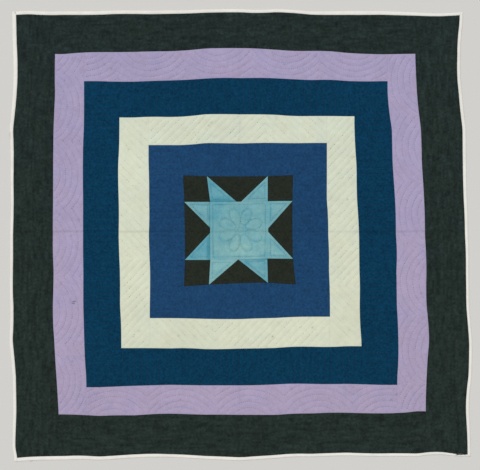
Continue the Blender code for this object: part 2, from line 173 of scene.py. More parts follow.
# Beside sewn lines and seams: width of the gathers, grooves, painted shade and soil, and wear, and
# the gathers' pitch
GATHER_WIDTH = 8.0
GATHER_PITCH = 11.0
SEAM_PUCKER_WIDTH = 9.0
SEAM_WIDTH = 8.0
THREAD_GROOVE = 0.8
SHADE_AND_SOIL_WIDTH = 3.0
WEAR_WIDTH = 9.0

# The binding's painted shade beside its hem, its lowest point, and the distance of its points
# across it
HEM_SHADE_WIDTH = 1.8
LOWEST_BINDING = 0.3
BINDING_STEP_ACROSS = 1.6

# How far below the middle the cloth is warmest, and the smallest and largest speckle
WARMTH_REACH = 900.0
SPECKLE_SIZES = (2.5, 5.5)

# Soft noise by what it shapes: size of one swell in millimetres, and the seed of its pattern
NOISES = {
    "wander across": (48.0, 11),
    "wander up": (48.0, 12),
    "level crease": (90.0, 21),
    "upright crease": (110.0, 22),
    "crease depth": (130.0, 23),
    "slow swell": (210.0, 31),
    "quick swell": (95.0, 32),
    "crinkle": (23.0, 33),
    "fine crinkle": (11.0, 34),
    "gather": (60.0, 41),
    "seam pucker": (12.0, 42),
    "crest": (42.0, 43),
    "slow fading": (240.0, 51),
    "fading": (70.0, 52),
    "fine fading": (16.0, 53),
    "long streaks": (7.6, 54),
    "thin streaks": (8.0, 55),
    "warmth": (50.0, 56),
    "groove shade and soil": (24.0, 57),
    "star fading": (34.0, 61),
    "star level streaks": (40.0, 62),
    "star upright streaks": (30.0, 63),
    "star wear": (30.0, 64),
    "binding lumps": (38.0, 71),
    "binding small lumps": (13.0, 72),
    "binding twist": (9.0, 73),
    "binding fading": (120.0, 74),
    "binding soil": (26.0, 75),
    "legible thread": (36.0, 81),
}
NOISE_KNOTS = 256
NOISE_START = (512.3, 512.7)

# patch of the star, and how far its cloth has faded from deep blue (0) to pale (1)
STAR_FADING = {
    "star_centre": 0.55,
    "star_point_top_left": 0.1,
    "star_point_top_right": 0.5,
    "star_point_right_upper": 0.48,
    "star_point_right_lower": 0.68,
    "star_point_bottom_right": 0.32,
    "star_point_bottom_left": 0.8,
    "star_point_left_lower": 0.1,
    "star_point_left_upper": 0.5,
}
DEEP_STAR = (92, 155, 170)
PALE_STAR = (126, 173, 175)
MIDDLE_STAR = (109, 164, 173)

# More and less faded areas of the centre square: middle, half width and half height, fading
CENTRE_AREAS = (
    (5.0, -55.0, 75.0, 55.0, 0.55),
    (-105.0, 110.0, 55.0, 70.0, -0.35),
)

# Darker, bluer bands beside a seam: patch, coordinate (0 is x, 1 is y), where the seam is, width
DARK_SEAM_BANDS = (
    ("star_point_left_lower", 0, -129.0, 11.0),
    ("star_point_left_upper", 0, -129.0, 7.0),
    ("star_point_top_left", 1, 140.0, 8.0),
    ("star_point_bottom_right", 1, -100.0, 7.0),
)
DARK_BAND_DEPTH = (0.5, 0.3, 0.25)

# Small stains: pixel across, pixel down, size in millimetres, strength
STAINS = (
    (272, 336, 3.5, 0.55),
    (347, 199, 4.0, 0.4),
    (312, 327, 3.5, 0.4),
    (133, 336, 3.5, 0.35),
    (211, 122, 4.0, 0.3),
    (208, 125, 4.0, 0.3),
    (178, 335, 3.5, 0.25),
    (128, 149, 4.0, 0.25),
    (139, 167, 3.5, 0.2),
    (206, 326, 4.0, 0.2),
    (396, 394, 4.0, 0.35),
    (391, 399, 4.5, 0.3),
    (111, 68, 3.5, 0.3),
    (104, 64, 4.0, 0.25),
    (180, 399, 3.5, 0.3),
    (284, 64, 3.5, 0.3),
    (407, 243, 3.5, 0.3),
    (64, 80, 4.0, 0.25),
    (72, 361, 4.0, 0.25),
    (73, 302, 5.0, 0.3),
)

# Darker stitches and wider thread stand partly for painted shade in the dimple at each stitch
# Cloth, and how its thread shows: width against the usual, darkest and palest shade, hue
THREAD_LOOKS = {
    "charcoal": (1.0, 0.3, 1.0, (1.0, 1.0, 1.0)),
    "lilac": (1.1, 0.6, 8.5, (1.0, 0.9, 1.1)),
    "navy": (1.0, 0.4, 1.2, (0.6, 1.0, 1.8)),
    "cream": (1.0, 2.5, 27.0, (1.0, 1.0, 0.9)),
    "blue": (1.0, 0.4, 1.4, (0.6, 1.0, 1.9)),
    "star": (1.3, 0.5, 7.0, (0.5, 1.2, 1.4)),
    "black": (1.3, 0.3, 1.2, (1.0, 1.0, 1.0)),
}

# A stitch's thread: share of its length at full height, how deep its ends and sides sink against
# its height, its length on the back against the face, and its points on the face and the back
STITCH_BODY = 0.6
SUNK_END = 0.5
SUNK_SIDE = 0.3
BACK_STITCH_SHARE = 0.7
FACE_STITCH_POINTS = 8
BACK_STITCH_POINTS = 5

# Unevenness by hand: where the first stitch lies, and shares of the usual length and pitch
FIRST_STITCH = (0.2, 0.8)
STITCH_LENGTHS = (0.82, 1.12)
STITCH_PITCHES = (0.9, 1.1)

# Loose threads: start and end pixel, sideways bow and radius in millimetres, shade
LOOSE_THREADS = (
    (453.2, 453.4, 457.8, 454.3, 1.0, 1.2, 0.9),
    (455.6, 454.7, 459.6, 454.3, -1.0, 1.0, 1.0),
    (456.8, 453.9, 462.4, 454.6, -1.5, 1.1, 1.0),
    (460.2, 454.9, 466.2, 454.9, 1.5, 0.8, 1.0),
    (457.4, 453.0, 462.8, 453.7, -2.0, 0.7, 5.0),
    (72.2, 301.5, 76.2, 301.3, 0.8, 0.6, 1.0),
    (72.0, 303.4, 74.8, 303.2, -0.8, 0.6, 1.0),
    (14.4, 12.0, 15.6, 13.2, 0.8, 0.6, 1.0),
    (10.3, 132.2, 10.3, 134.8, -6.5, 1.7, 34.0),
    (10.3, 136.2, 10.4, 138.6, -4.5, 1.5, 34.0),
    (32.4, 460.6, 29.6, 461.1, 4.5, 0.6, 26.0),
)
LOOSE_THREAD_POINTS = 9
TUBE_SIDES = 6

# Threads are laid on the cloth from this height, in metres
RAY_HEIGHT = 0.06
DOWN = Vector((0.0, 0.0, -1.0))

# How much each cloth's colour varies: over a hand's width, a few threads, from thread to thread
PALE_MOTTLING = (0.06, 0.12, 0.06)
COTTON_MOTTLING = {
    "charcoal_cloth": (0.15, 1.3, 0.8),
    "lilac_cloth": (0.1, 0.28, 0.12),
    "navy_cloth": (0.3, 1.45, 0.4),
    "blue_cloth": (0.3, 1.1, 0.3),
    "black_cloth": (0.4, 1.1, 0.4),
    "star_cloth": (0.12, 0.36, 0.12),
}
MOTTLING_SCALES = (26.0, 130.0, 620.0)
LEAST_SHADE = 0.3

# The cloth's surface, in metres, with its wrinkles as a noise scale
WEAVE_PITCH = 0.0014
WEAVE_DEPTH = 0.00012
WRINKLE_SCALE = 95.0
WRINKLE_DEPTH = 0.0012

# The stage, in metres: the floor lies a hair under the quilt
FLOOR_LEVEL = -0.0006
KEY_DISTANCE = 4.0
FARTHEST_SEEN = 100.0

BLOCK_PATCHES = (
    "block_side_top",
    "block_side_right",
    "block_side_bottom",
    "block_side_left",
    "block_corner_top_left",
    "block_corner_top_right",
    "block_corner_bottom_right",
    "block_corner_bottom_left",
)


def linear_colour(colour):
    share = np.array(colour, float) / 255
    return np.where(share <= 0.04045, share / 12.92, ((share + 0.055) / 1.055) ** 2.4)


def colour_property(name, description, colour):
    return bpy.props.FloatVectorProperty(
        name=name,
        description=description,
        default=tuple(float(c) for c in linear_colour(colour)),
        subtype="COLOR",
        size=3,
        min=0.0,
        max=1.0,
    )


def length_property(name, description, default):
    return bpy.props.FloatProperty(
        name=name, description=description, default=default, min=0.0, unit="LENGTH"
    )


def angle_property(name, description, degrees):
    return bpy.props.FloatProperty(
        name=name, description=description, default=math.radians(degrees), min=0.0, subtype="ANGLE"
    )


def strength_property(name, description, default):
    return bpy.props.FloatProperty(name=name, description=description, default=default, min=0.0)


class QuiltPadding(bpy.types.PropertyGroup):
    """How the padded cloth stands up and dips."""

    step: length_property("Grid step", "Distance between the cloth's points", 0.0038)
    stitch_height: length_property("Sewn height", "Height of the face where it is sewn", 0.0027)
    crest_height: length_property("Crest height", "Height of the face between sewn lines", 0.0046)
    seam_height: length_property("Seam height", "Height of the face along a seam", 0.0029)
    pucker: length_property("Puckers", "Depth of the gathers across a sewn line", 0.0004)
    crinkle: length_property("Crinkle", "Depth of the small crinkles of washed cloth", 0.0007)
    swell: length_property("Swell", "Height of the slow swells of a quilt that lies loose", 0.0016)
    crease: length_property("Crease", "Depth of the creases where the quilt was folded", 0.0012)
    binding_edge: length_property("Binding edge", "Height of the binding at its edges", 0.0014)
    binding_crest: length_property("Binding crest", "Height of the binding's middle", 0.0047)


class QuiltSewing(bpy.types.PropertyGroup):
    """The running stitches."""

    length: length_property("Stitch length", "Length of the thread that shows", 0.0040)
    pitch: length_property("Stitch pitch", "Distance from one stitch to the next", 0.0085)
    width: length_property("Thread width", "Width of the thread that shows", 0.0016)
    height: length_property("Thread height", "How far the thread stands on the cloth", 0.0006)
    thread: colour_property("Thread", "Sewing thread, which each stitch shades", (41, 40, 39))


class QuiltCloths(bpy.types.PropertyGroup):
    """The colour of each cloth."""

    binding_cloth: colour_property("Binding", "White cloth of the binding", (228, 226, 218))
    charcoal_cloth: colour_property("Charcoal", "Outermost frame", (35, 46, 43))
    lilac_cloth: colour_property("Lilac", "Second frame", (165, 154, 184))
    navy_cloth: colour_property("Navy", "Third frame", (7, 53, 80))
    cream_cloth: colour_property("Cream", "Fourth frame", (209, 214, 193))
    blue_cloth: colour_property("Blue", "Frame round the star block", (28, 65, 102))
    black_cloth: colour_property("Black", "Dark patches of the star block", (36, 41, 34))
    star_cloth: colour_property("Star", "Centre square and points of the star", MIDDLE_STAR)
    back_cloth: colour_property("Back", "Plain cloth of the back", (214, 210, 200))


class QuiltStage(bpy.types.PropertyGroup):
    """Floor, light and camera."""

    floor: colour_property("Floor", "Plain pale floor", (206, 205, 201))
    floor_width: length_property("Floor width", "Width of the floor", 9.0)
    key_strength: strength_property("Key light", "Strength of the slanting light", 1.8)
    key_softness: angle_property("Key softness", "Width of the slanting light in the sky", 30)
    key_height: angle_property("Key height", "Height of the slanting light over the floor", 66)
    key_heading: angle_property("Key heading", "Where it comes from, from right to top", 122)
    sky_strength: strength_property("Sky light", "Strength of the even light all round", 0.5)
    camera_height: length_property("Camera height", "Height of the camera over the quilt", 5.0)


# Planning on the pattern


def on_pattern(pixel_x, pixel_y):
    """The pattern's point under a pixel of the view."""
    across, down = pixel_x - MIDDLE_PIXEL[0], MIDDLE_PIXEL[1] - pixel_y
    return np.array((across * MM_PER_PIXEL, down * MM_PER_PIXEL))


def eased(share):
    """A share from 0 to 1 that starts and ends gently."""
    return share * share * (3 - 2 * share)


def bell(distance, width):
    """1 at no distance, dying away over the width."""
    return np.exp(-((distance / width) ** 2))


def soft_noise(kind, x, y):
    """Smooth random swells from about -1 to 1, with the kind's size and seed."""
    size, seed = NOISES[kind]
    knots = np.random.default_rng(seed).uniform(-1.0, 1.0, (NOISE_KNOTS, NOISE_KNOTS))
    across = np.asarray(x) / size + NOISE_START[0]
    up = np.asarray(y) / size + NOISE_START[1]
    column, row = np.floor(across).astype(int), np.floor(up).astype(int)
    across, up = eased(across - column), eased(up - row)

    def on_row(number):
        left = knots[column % NOISE_KNOTS, number % NOISE_KNOTS]
        right = knots[(column + 1) % NOISE_KNOTS, number % NOISE_KNOTS]
        return left * (1 - across) + right * across

    return on_row(row) * (1 - up) + on_row(row + 1) * up


def signed_area(outline):
    x, y = outline[:, 0], outline[:, 1]
    return float(np.sum(x * np.roll(y, -1) - y * np.roll(x, -1)) / 2)


def grown(outline, by):
    """The counter-clockwise outline with every edge moved outwards."""
    ahead = np.roll(outline, -1, axis=0) - outline
    ahead /= np.linalg.norm(ahead, axis=1, keepdims=True)
    behind = np.roll(ahead, 1, axis=0)
    outward = np.stack((ahead[:, 1] + behind[:, 1], -ahead[:, 0] - behind[:, 0]), axis=1)
    outward /= np.linalg.norm(outward, axis=1, keepdims=True)
    depth = outward[:, 0] * ahead[:, 1] - outward[:, 1] * ahead[:, 0]
    return outline + outward * (by / depth)[:, None]


def back_outline(node):
    """The outline of a solid's flat back on the pattern, counter-clockwise."""
    mesh = frame["nodes"][node].data
    places = np.empty(len(mesh.vertices) * 3, np.float32)
    mesh.vertices.foreach_get("co", places)
    places = places.reshape(-1, 3).astype(float) / MM
    _, first, weld = np.unique(np.round(places, 2), axis=0, return_index=True, return_inverse=True)
    mesh.calc_loop_triangles()
    triangles = np.empty(len(mesh.loop_triangles) * 3, np.int32)
    mesh.loop_triangles.foreach_get("vertices", triangles)
    triangles = weld.reshape(-1)[triangles].reshape(-1, 3)
    spots = places[first]
    back = triangles[(spots[triangles, 2] < BACK_LEVEL).all(axis=1)].tolist()
    ways = {(tri[k - 1], tri[k]) for tri in back for k in range(3)}
    after = {start: end for start, end in ways if (end, start) not in ways}
    loop = [min(after)]
    while after[loop[-1]] != loop[0]:
        loop.append(after[loop[-1]])
    outline = spots[loop, :2] - np.array(PATTERN_MIDDLE)
    return outline if signed_area(outline) > 0 else outline[::-1]


def outline_sides(outline):
    """The outline cut at its corners, starting from the lower left one."""
    ahead = np.roll(outline, -1, axis=0) - outline
    behind = outline - np.roll(outline, 1, axis=0)
    cross = behind[:, 0] * ahead[:, 1] - behind[:, 1] * ahead[:, 0]
    turn = np.arctan2(cross, (behind * ahead).sum(axis=1))
    corners = np.flatnonzero(turn > CORNER_TURN)
    if len(corners) not in (3, 4):
        raise RuntimeError(f"an outline has {len(corners)} corners, and a patch has 3 or 4")
    start = int(corners[np.argmin(outline[corners].sum(axis=1))])
    outline = np.roll(outline, -start, axis=0)
    corners = sorted((corners - start) % len(outline))
    closed = np.vstack((outline, outline[:1]))
    ends = [*corners[1:], len(outline)]
    return [closed[a : b + 1] for a, b in zip(corners, ends)]


def run_length(points):
    return float(np.linalg.norm(np.diff(points, axis=0), axis=1).sum())


def stations(points):
    """How far along its run each point lies."""
    steps = np.linalg.norm(np.diff(points, axis=0), axis=1)
    return np.concatenate(([0.0], np.cumsum(steps)))


def along_run(points, shares):
    """Points at shares of a run's length, on a soft curve through its given points."""
    at = stations(points)
    if len(points) > 2:
        slopes = np.gradient(points, at, axis=0)
    else:
        slopes = np.tile((points[1] - points[0]) / at[1], (2, 1))
    where = np.clip(np.asarray(shares) * at[-1], 0.0, at[-1])
    low = np.clip(np.searchsorted(at, where, side="right") - 1, 0, len(at) - 2)
    span = at[low + 1] - at[low]
    u = ((where - at[low]) / span)[:, None]
    span = span[:, None]
    start_share = (1 + 2 * u) * (1 - u) ** 2
    bend = span * (u * (1 - u) ** 2 * slopes[low] - u * u * (1 - u) * slopes[low + 1])
    return start_share * points[low] + (1 - start_share) * points[low + 1] + bend


class Plan:
    """One piece of cloth as a grid of points inside its outline.

    sides holds the outline's runs from corner to corner, side_distances each point's distance
    from them, seam the least of those, and rim the outline's points in order.
    """

    def __init__(self, node, step, step_across=None):
        self.node = node
        self.outline = back_outline(node)
        self.sides = outline_sides(grown(self.outline, PIECE_GAP / 2))
        if len(self.sides) == 4:
            self.lay_four_sided(step, step_across or step)
        else:
            self.lay_three_sided(step)
        self.seam = self.side_distances.min(axis=1)

    def lay_four_sided(self, step, step_across):
        bottom, right, top, left = self.sides
        top, left = top[::-1], left[::-1]
        length = max(run_length(bottom), run_length(top))
        height = max(run_length(left), run_length(right))
        fine = [step, step]
        fine[0 if length < height else 1] = step_across
        columns = max(FEWEST_STEPS, round(length / fine[0]))
        rows = max(FEWEST_STEPS, round(height / fine[1]))
        u = np.linspace(0.0, 1.0, columns + 1)
        v = np.linspace(0.0, 1.0, rows + 1)
        low, high = along_run(bottom, u), along_run(top, u)
        start, end = along_run(left, v), along_run(right, v)
        across, up = u[:, None, None], v[None, :, None]
        points = (1 - up) * low[:, None] + up * high[:, None]
        points = points + (1 - across) * start[None] + across * end[None]
        points -= (1 - across) * ((1 - up) * low[0] + up * high[0])
        points -= across * ((1 - up) * low[-1] + up * high[-1])
        self.points = points.reshape(-1, 2)
        grid_u = np.repeat(u, rows + 1)
        grid_v = np.tile(v, columns + 1)
        distances = (grid_v * height, (1 - grid_u) * length, (1 - grid_v) * height, grid_u * length)
        self.side_distances = np.stack(distances, axis=1)
        index = np.arange((columns + 1) * (rows + 1)).reshape(columns + 1, rows + 1)
        corners = (index[:-1, :-1], index[1:, :-1], index[1:, 1:], index[:-1, 1:])
        self.faces = np.stack([part.reshape(-1) for part in corners], axis=1)
        rim = (index[:-1, 0], index[-1, :-1], index[:0:-1, -1], index[0, :0:-1])
        self.rim = np.concatenate(rim)

    def lay_three_sided(self, step):
        first, second, third = (side[0] for side in self.sides)
        count = max(FEWEST_STEPS, round(max(run_length(side) for side in self.sides) / step))
        places, index = [], {}
        for i in range(count + 1):
            for j in range(count + 1 - i):
                index[i, j] = len(places)
                places.append((i, j))
        shares = np.array(places, float) / count
        i_share, j_share = shares[:, :1], shares[:, 1:]
        self.points = first + (second - first) * i_share + (third - first) * j_share
        faces = []
        for i, j in places:
            if i + j < count:
                faces.append((index[i, j], index[i + 1, j], index[i, j + 1]))
            if i + j < count - 1:
                faces.append((index[i + 1, j], index[i + 1, j + 1], index[i, j + 1]))
        self.faces = np.array(faces)
        double_area = 2 * signed_area(np.array((first, second, third)))
        ends = ((first, second), (second, third), (third, first))
        bases = [np.linalg.norm(b - a) for a, b in ends]
        weights = (j_share, 1 - i_share - j_share, i_share)
        distances = [weight * double_area / base for weight, base in zip(weights, bases)]
        self.side_distances = np.concatenate(distances, axis=1)
        rim = [index[i, 0] for i in range(count)]
        rim += [index[count - k, k] for k in range(count)]
        rim += [index[0, count - k] for k in range(count)]
        self.rim = np.array(rim)

    def flat_area(self):
        return signed_area(self.outline) * MM * MM

    def flat_size(self):
        low, high = self.outline.min(axis=0), self.outline.max(axis=0)
        return float(high[0] - low[0]) * MM, float(high[1] - low[1]) * MM


class Strip(Plan):
    """One strip of a frame: s runs along it, and t across it from its outer seam."""

    def __init__(self, frame_name, side, step, step_across=None):
        super().__init__(f"{frame_name}_{side}", step, step_across)
        self.side = side
        self.level = side in LEVEL_SIDES
        self.outer_side = RUN_ON_SIDE[side]
        self.inner_side = (self.outer_side + 2) % 4
        self.outer = self.seam_line(self.sides[self.outer_side])
        self.inner = self.seam_line(self.sides[self.inner_side])
        self.width = float(np.interp(0.0, *self.outer) - np.interp(0.0, *self.inner))
        self.start = max(self.outer[0][0], self.inner[0][0]) + SEAM_MARGIN
        self.stop = min(self.outer[0][-1], self.inner[0][-1]) - SEAM_MARGIN

    def flat_size(self):
        """The strip laid straight: its mean width and its length along the middle."""
        seams = (self.sides[self.outer_side], self.sides[self.inner_side])
        length = sum(run_length(seam) for seam in seams) / 2 * MM
        width = self.flat_area() / length
        return (length, width) if self.level else (width, length)

    def seam_line(self, run):
        """A seam's stations along the strip, and how far out it lies at each."""
        station, away = (run[:, 0], run[:, 1]) if self.level else (run[:, 1], run[:, 0])
        order = np.argsort(station)
        return station[order], SIGN[self.side] * away[order]

    def place(self, line):
        """A line of s and t placed on the pattern."""
        s, t = line[:, 0], line[:, 1]
        outer = np.interp(s, *self.outer)
        local_width = outer - np.interp(s, *self.inner)
        away = SIGN[self.side] * (outer - t * local_width / self.width)
        return np.stack((s, away) if self.level else (away, s), axis=1)

    def kept(self, line, also=None):
        """The runs of a line that lie clear of the strip's seams, placed on the pattern."""
        s, t = line[:, 0], line[:, 1]
        inside = (s >= self.start) & (s <= self.stop)
        inside &= (t >= SEAM_MARGIN) & (t <= self.width - SEAM_MARGIN)
        if also is not None:
            inside &= also
        cuts = np.flatnonzero(np.diff(inside.astype(int))) + 1
        groups = np.split(np.arange(len(line)), cuts)
        return [self.place(line[g]) for g in groups if len(g) >= FEWEST_POINTS and inside[g[0]]]


# Sewn lines


def straight_run(start, end):
    count = max(2, round(math.dist(start, end) / LINE_STEP))
    return np.linspace(start, end, count + 1)


def across_lines(strip):
    lines = []
    count = math.floor((strip.stop - strip.start) / LINE_SPACING)
    for k in range(count + 1):
        s = strip.start + k * LINE_SPACING
        lines += strip.kept(straight_run((s, 0.0), (s, strip.width)))
    return lines


def chevron_lines(strip):
    """Slanting lines, mirrored where they turn."""
    turn, outwards = CHEVRONS[strip.side]
    along = DIAGONAL_SPACING * math.sqrt(2)
    reach = strip.stop - strip.start + strip.width
    first = -along * round(reach / along)
    lines = []
    for k in range(math.ceil((strip.width - first) / along)):
        offset = first + k * along
        top = max(0.0, offset)
        for hand in (-1.0, 1.0):
            ends = []
            for t in (top, strip.width):
                ends.append((turn + hand * (t - offset), t if outwards > 0 else strip.width - t))
            lines += strip.kept(straight_run(*ends))
    return lines


def swag_lines(strip, radii, reach, inwards):
    """Rows of nested arcs, as far as they reach from the seam that they start at."""
    crest, swag = SWAGS[strip.side]
    first = math.floor((strip.start - crest) / swag)
    last = math.ceil((strip.stop - crest) / swag)
    lines = []
    for number in range(first, last + 1):
        middle = crest + number * swag
        for radius in radii:
            widest = math.asin(min(1.0, swag / 2 / radius))
            count = max(FEWEST_STEPS, round(2 * radius * widest / LINE_STEP))
            angle = np.linspace(-widest, widest, count + 1)
            out = radius * np.cos(angle) - ARC_CENTRE_SETBACK
            t = out if inwards else strip.width - out
            line = np.stack((middle + radius * np.sin(angle), t), axis=1)
            lines += strip.kept(line, out <= reach)
    return lines


def lilac_lines(strip):
    return swag_lines(strip, LILAC_RADII, strip.width, True)


def charcoal_lines(strip):
    lines = swag_lines(strip, CHARCOAL_RADII, CHARCOAL_ARC_REACH, False)
    for out in CHARCOAL_STRAIGHT_LINES:
        t = strip.width - out
        lines += strip.kept(straight_run((strip.start, t), (strip.stop, t)))
    return lines


def ring(centre, along, across, heading, steps, swell=0.0):
    """A closed oval, which is wider towards its heading where it swells."""
    angle = np.linspace(0.0, math.tau, steps + 1)
    x = along * np.cos(angle)
    y = across * np.sin(angle) * (1 + swell * np.cos(angle))
    turned_x = centre[0] + x * math.cos(heading) - y * math.sin(heading)
    turned_y = centre[1] + x * math.sin(heading) + y * math.cos(heading)
    return np.stack((turned_x, turned_y), axis=1)


def echo_lines(plan):
    inner = grown(plan.outline, -ECHO_INSET)
    corners = [inner[k] for k in range(len(inner))]
    return [straight_run(a, b) for a, b in zip(corners, corners[1:] + corners[:1])]


def rosette_lines(plan):
    lines = echo_lines(plan)
    eye = ROSETTE_EYE_RADIUS
    lines.append(ring(ROSETTE_CENTRE, eye, eye, 0.0, ROSETTE_EYE_STEPS))
    along, across = PETAL_LENGTH / 2, PETAL_WIDTH / 2
    for k in range(PETAL_COUNT):
        heading = math.tau * (k + 0.5) / PETAL_COUNT
        middle = (
            ROSETTE_CENTRE[0] + PETAL_CENTRE_RADIUS * math.cos(heading),
            ROSETTE_CENTRE[1] + PETAL_CENTRE_RADIUS * math.sin(heading),
        )
        lines.append(ring(middle, along, across, heading, PETAL_STEPS, PETAL_SWELL))
    return lines


def patch_lines(plan):
    return rosette_lines(plan) if plan.node == "star_centre" else echo_lines(plan)


def hand_sewn(lines):
    """The same lines, wandering a little as a hand does."""
    wandered = []
    for line in lines:
        dx = soft_noise("wander across", line[:, 0], line[:, 1])
        dy = soft_noise("wander up", line[:, 0], line[:, 1])
        wandered.append(line + HAND_WANDER * np.stack((dx, dy), axis=1))
    return wandered


# Relief and tint


def nearest_sewn(points, lines):
    """Each point's distance from the nearest sewn line, and its place along that line."""
    places = np.vstack(lines)
    along = np.concatenate([np.arange(len(line)) * LINE_STEP for line in lines])
    tree = KDTree(len(places))
    for k, place in enumerate(places.tolist()):
        tree.insert((place[0], place[1], 0.0), k)
    tree.balance()
    found = [tree.find((x, y, 0.0)) for x, y in points.tolist()]
    distance = np.array([f[2] for f in found])
    return distance, along[[f[1] for f in found]]


def crease_depth(x, y):
    """How deep in the quilt's two fold creases a point lies, from 0 to 1."""
    level = LEVEL_CREASE + 2.0 * soft_noise("level crease", x, 0 * x)
    upright = UPRIGHT_CREASE + 2.5 * soft_noise("upright crease", 0 * y, y)
    strong = 0.8 + 0.2 * soft_noise("crease depth", x, y)
    upright_depth = UPRIGHT_CREASE_SHARE * bell(x - upright, UPRIGHT_CREASE_WIDTH)
    return strong * np.maximum(bell(y - level, LEVEL_CREASE_WIDTH), upright_depth)


def all_over_relief(x, y, padding):
    """Swells, crinkles and fold creases, which run on over every seam."""
    from_edge = np.minimum(SWELL_REACH[0] - np.abs(x), SWELL_REACH[1] - np.abs(y))
    inner = np.clip(from_edge / SWELL_FADE, 0.0, 1.0)
    swell = soft_noise("slow swell", x, y) + 0.5 * soft_noise("quick swell", x, y)
    crinkle = soft_noise("crinkle", x, y) + 0.7 * soft_noise("fine crinkle", x, y)
    relief = inner * (0.6 + 0.5 * swell) * padding.swell / MM
    relief += 0.6 * crinkle * padding.crinkle / MM
    return relief - crease_depth(x, y) * padding.crease / MM


def quilted_relief(plan, lines, padding):
    """Height of the face at each of the plan's points, with its distance from a sewn line."""
    x, y = plan.points[:, 0], plan.points[:, 1]
    distance, along = nearest_sewn(plan.points, lines)
    rise = np.clip((distance - THREAD_GROOVE) / (LINE_SPACING / 2 - THREAD_GROOVE), 0.0, 1.0)
    arch = (1 - (1 - rise) ** 2) ** 0.75 * (0.8 + 0.42 * soft_noise("crest", x, y))
    height = padding.stitch_height + (padding.crest_height - padding.stitch_height) * arch
    wave = math.tau * along / GATHER_PITCH + 5 * soft_noise("gather", x, y)
    gather = bell(distance, GATHER_WIDTH) * np.sin(wave)
    gather += 0.8 * bell(plan.seam, SEAM_PUCKER_WIDTH) * soft_noise("seam pucker", x, y)
    seam = eased(np.clip(plan.seam / SEAM_WIDTH, 0.0, 1.0))
    height = padding.seam_height + (height - padding.seam_height) * seam
    height = height / MM + padding.pucker / MM * gather * seam
    return height + all_over_relief(x, y, padding), distance


def all_over_tint(x, y):
    """Slow fading, painted shade in the fold creases and the small stains."""
    tint = 1.0 + 0.03 * soft_noise("slow fading", x, y) + 0.025 * soft_noise("fading", x, y)
    tint += 0.03 * soft_noise("fine fading", x, y)
    # Painted shade in the fold creases
    tint -= 0.14 * crease_depth(x, y)
    for pixel_x, pixel_y, size, strength in STAINS:
        spot = on_pattern(pixel_x + 0.5, pixel_y + 0.5)
        tint *= 1 - strength * bell(np.hypot(x - spot[0], y - spot[1]), size)
    return tint


def grey(tint):
    return np.repeat(tint[:, None], 3, axis=1)


def cloth_tint(plan, distance, groove=0.02):
    """The usual tint, with painted shade and some soil along the sewn lines, painted shade along
    the seams, and slow changes of hue.
    """
    x, y = plan.points[:, 0], plan.points[:, 1]
    tint = all_over_tint(x, y)
    # Painted shade, with some soil, along the grooves of the sewn lines
    tint -= groove * (1 + soft_noise("groove shade and soil", x, y)) * bell(distance, SHADE_AND_SOIL_WIDTH)
    # Painted shade along the seams
    tint -= 0.05 * bell(plan.seam, SHADE_AND_SOIL_WIDTH)
    warmth = np.clip(-y / WARMTH_REACH, -1, 1) * 0.025 + 0.018 * soft_noise("warmth", x, y)
    return grey(tint) * (1 + warmth[:, None] * np.array((1.0, 0.1, -1.0)))


def speckled(tint, plan, count, strength, seed):
    """Small soft stains scattered over a piece."""
    rng = np.random.default_rng(seed)
    low, high = plan.points.min(axis=0), plan.points.max(axis=0)
    for _ in range(count):
        spot = rng.uniform(low, high)
        size = rng.uniform(*SPECKLE_SIZES)
        away = np.linalg.norm(plan.points - spot, axis=1)
        tint *= 1 - strength * rng.uniform(0.3, 1.0) * bell(away, size)[:, None]
    return tint


def charcoal_tint(strip, distance):
    """The usual tint, with faint streaks along the strip and darker painted shade along the sewn
    lines.
    """
    x, y = strip.points[:, 0], strip.points[:, 1]
    along, across = (x, y) if strip.level else (y, x)
    streaks = soft_noise("long streaks", along / 5.0, across)
    streaks += 0.7 * soft_noise("thin streaks", along, across / 2.0)
    return cloth_tint(strip, distance, groove=0.14) * (1 + 0.25 * streaks)[:, None]


def lilac_tint(strip, distance):
    return speckled(cloth_tint(strip, distance), strip, count=22, strength=0.16, seed=102)


def cream_tint(strip, distance):
    return speckled(cloth_tint(strip, distance), strip, count=18, strength=0.14, seed=104)


def star_tint(plan, distance):
    """Streaky fading from deep blue to pale, with darker, bluer bands beside some seams."""
    x, y = plan.points[:, 0], plan.points[:, 1]
    fading = STAR_FADING[plan.node] + 0.22 * soft_noise("star fading", x, y)
    fading += 0.16 * soft_noise("star level streaks", x, 4.5 * y)
    fading += 0.1 * soft_noise("star upright streaks", 3.5 * x, y)
    worn = 0.5 + 0.9 * soft_noise("star wear", x, y)
    fading += 0.45 * worn * (np.clip(distance / WEAR_WIDTH, 0.0, 1.0) - 0.7)
    if plan.node == "star_centre":
        for middle_x, middle_y, half_width, half_height, more in CENTRE_AREAS:
            fading += more * bell(x - middle_x, half_width) * bell(y - middle_y, half_height)
    deep, pale, middle = (linear_colour(c) for c in (DEEP_STAR, PALE_STAR, MIDDLE_STAR))
    share = fading[:, None]
    tint = (deep * (1 - share) + pale * share) / middle
    # Darker, bluer bands beside some seams
    for node, axis, seam, width in DARK_SEAM_BANDS:
        if node == plan.node:
            band = bell(plan.points[:, axis] - seam, width)[:, None]
            tint *= 1 - band * np.array(DARK_BAND_DEPTH)
    # Stronger painted shade along the sewn lines than the usual
    return tint * cloth_tint(plan, distance, groove=0.06)


# Materials


def shader_of(material):
    return material.node_tree.nodes["Principled BSDF"]


def plain_material(name, colour, roughness):
    material = bpy.data.materials.new(name)
    material.use_nodes = True
    shader = shader_of(material)
    shader.inputs["Base Color"].default_value = (*colour, 1.0)
    shader.inputs["Roughness"].default_value = roughness
    return material


def math_node(nodes, links, operation, first, second):
    node = nodes.new("ShaderNodeMath")
    node.operation = operation
    for socket, value in zip(node.inputs, (first, second)):
        if isinstance(value, float):
            socket.default_value = value
        else:
            links.new(value, socket)
    return node.outputs[0]


